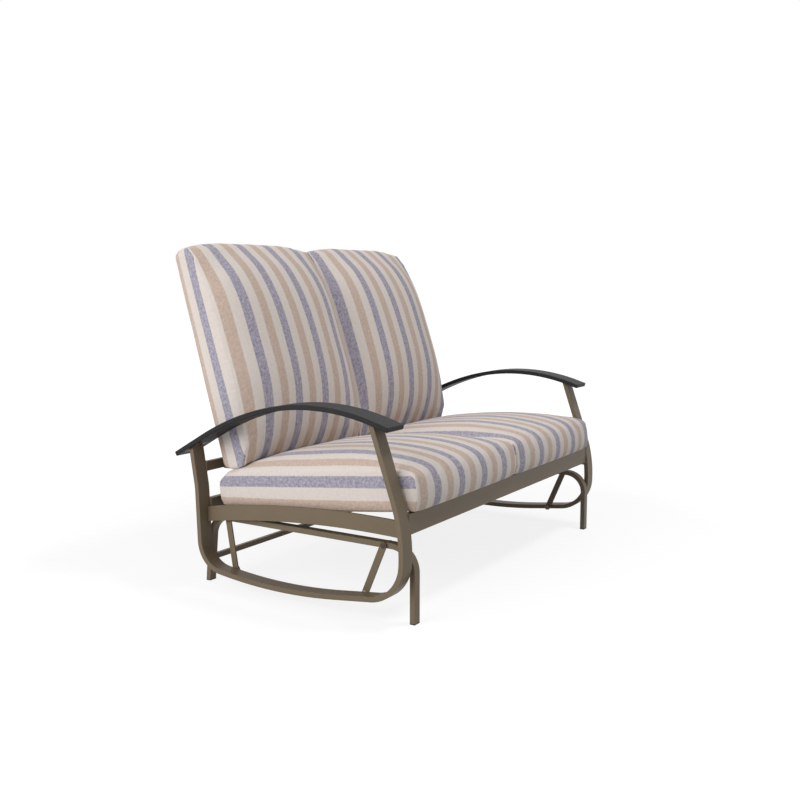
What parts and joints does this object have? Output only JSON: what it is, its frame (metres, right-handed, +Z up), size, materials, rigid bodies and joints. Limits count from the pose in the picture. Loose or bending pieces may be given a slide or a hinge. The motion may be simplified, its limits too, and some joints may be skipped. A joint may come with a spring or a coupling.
{
  "type": "glider bench",
  "caption": "Two-seat patio glider bench: bent steel tube frame on swinging links, striped cushions, arched dark armrests.",
  "frame": {"origin": "on the floor, under the middle of the bench's bounding box, with the seat at rest", "axes": "+X to the right seen from the front, +Y from front to rear so that the bench faces -Y, +Z up"},
  "size_m": [1.36, 0.8872, 1.0399],
  "materials": {
    "frame_paint": "satin taupe-bronze powder coat on steel tube",
    "hardware": "dull plated steel",
    "nylon": "natural nylon",
    "glide_polymer": "black moulded plastic",
    "arm_polymer": "charcoal, brushed lengthwise wood grain",
    "strap": "dark flat elastic strap",
    "cushion_fabric": "heathered outdoor linen-look cloth, cream with tan and grey-blue stripes"
  },
  "bodies": {
    "base": {"base_hoop_left": "frame_paint", "base_hoop_right": "frame_paint", "rear_stretcher": "frame_paint", "foot_glides_front": "glide_polymer", "foot_glides_rear": "glide_polymer", "upper_pivot_bolts": "hardware", "upper_pivot_nuts": "hardware"},
    "front_link_left_body": {"front_link_left": "frame_paint", "front_link_washers_left": "nylon"},
    "front_link_right_body": {"front_link_right": "frame_paint", "front_link_washers_right": "nylon"},
    "rear_link_left_body": {"rear_link_left": "frame_paint", "rear_link_washers_left": "nylon"},
    "rear_link_right_body": {"rear_link_right": "frame_paint", "rear_link_washers_right": "nylon"},
    "seat": {"side_loop_left": "frame_paint", "side_loop_right": "frame_paint", "side_rail_left": "frame_paint", "side_rail_right": "frame_paint", "front_rail": "frame_paint", "rear_rail": "frame_paint", "back_cross_rail": "frame_paint", "back_upright_left": "frame_paint", "back_upright_centre": "frame_paint", "back_upright_right": "frame_paint", "back_top_rail": "frame_paint", "back_straps": "strap", "back_strap_clips": "hardware", "seat_straps": "strap", "seat_strap_clips": "hardware", "armrest_left": "arm_polymer", "armrest_right": "arm_polymer", "arm_plates": "hardware", "arm_screws": "hardware", "lower_pivot_bolts": "hardware", "seat_cushion_left": "cushion_fabric", "seat_cushion_right": "cushion_fabric", "back_cushion_left": "cushion_fabric", "back_cushion_right": "cushion_fabric"}
  },
  "joints": [
    {"name": "glide", "type": "hinge", "parent": "base", "child": "front_link_left_body", "pos_m": [-0.6166, -0.3435, 0.206], "axis": [1, 0, 0], "range_deg": [-20, 8]},
    {"name": "front_link_right_swing", "type": "hinge", "parent": "base", "child": "front_link_right_body", "pos_m": [0.6166, -0.3435, 0.206], "axis": [1, 0, 0], "range_deg": [-20, 8]},
    {"name": "rear_link_left_swing", "type": "hinge", "parent": "base", "child": "rear_link_left_body", "pos_m": [-0.6166, 0.2125, 0.206], "axis": [1, 0, 0], "range_deg": [-20.4, 8.3]},
    {"name": "rear_link_right_swing", "type": "hinge", "parent": "base", "child": "rear_link_right_body", "pos_m": [0.6166, 0.2125, 0.206], "axis": [1, 0, 0], "range_deg": [-20.4, 8.3]},
    {"name": "seat_pitch", "type": "hinge", "parent": "front_link_left_body", "child": "seat", "pos_m": [-0.6166, -0.282, 0.06119], "axis": [1, 0, 0], "range_deg": [-9.6, 23.9]}
  ],
  "couplings": [
    {"joint": "front_link_right_swing", "follows": "glide", "ratio": 1},
    {"joint": "rear_link_left_swing", "follows": "glide", "ratio": 1.0109},
    {"joint": "rear_link_right_swing", "follows": "glide", "ratio": 1.0109},
    {"joint": "seat_pitch", "follows": "glide", "ratio": -1.1874}
  ]
}
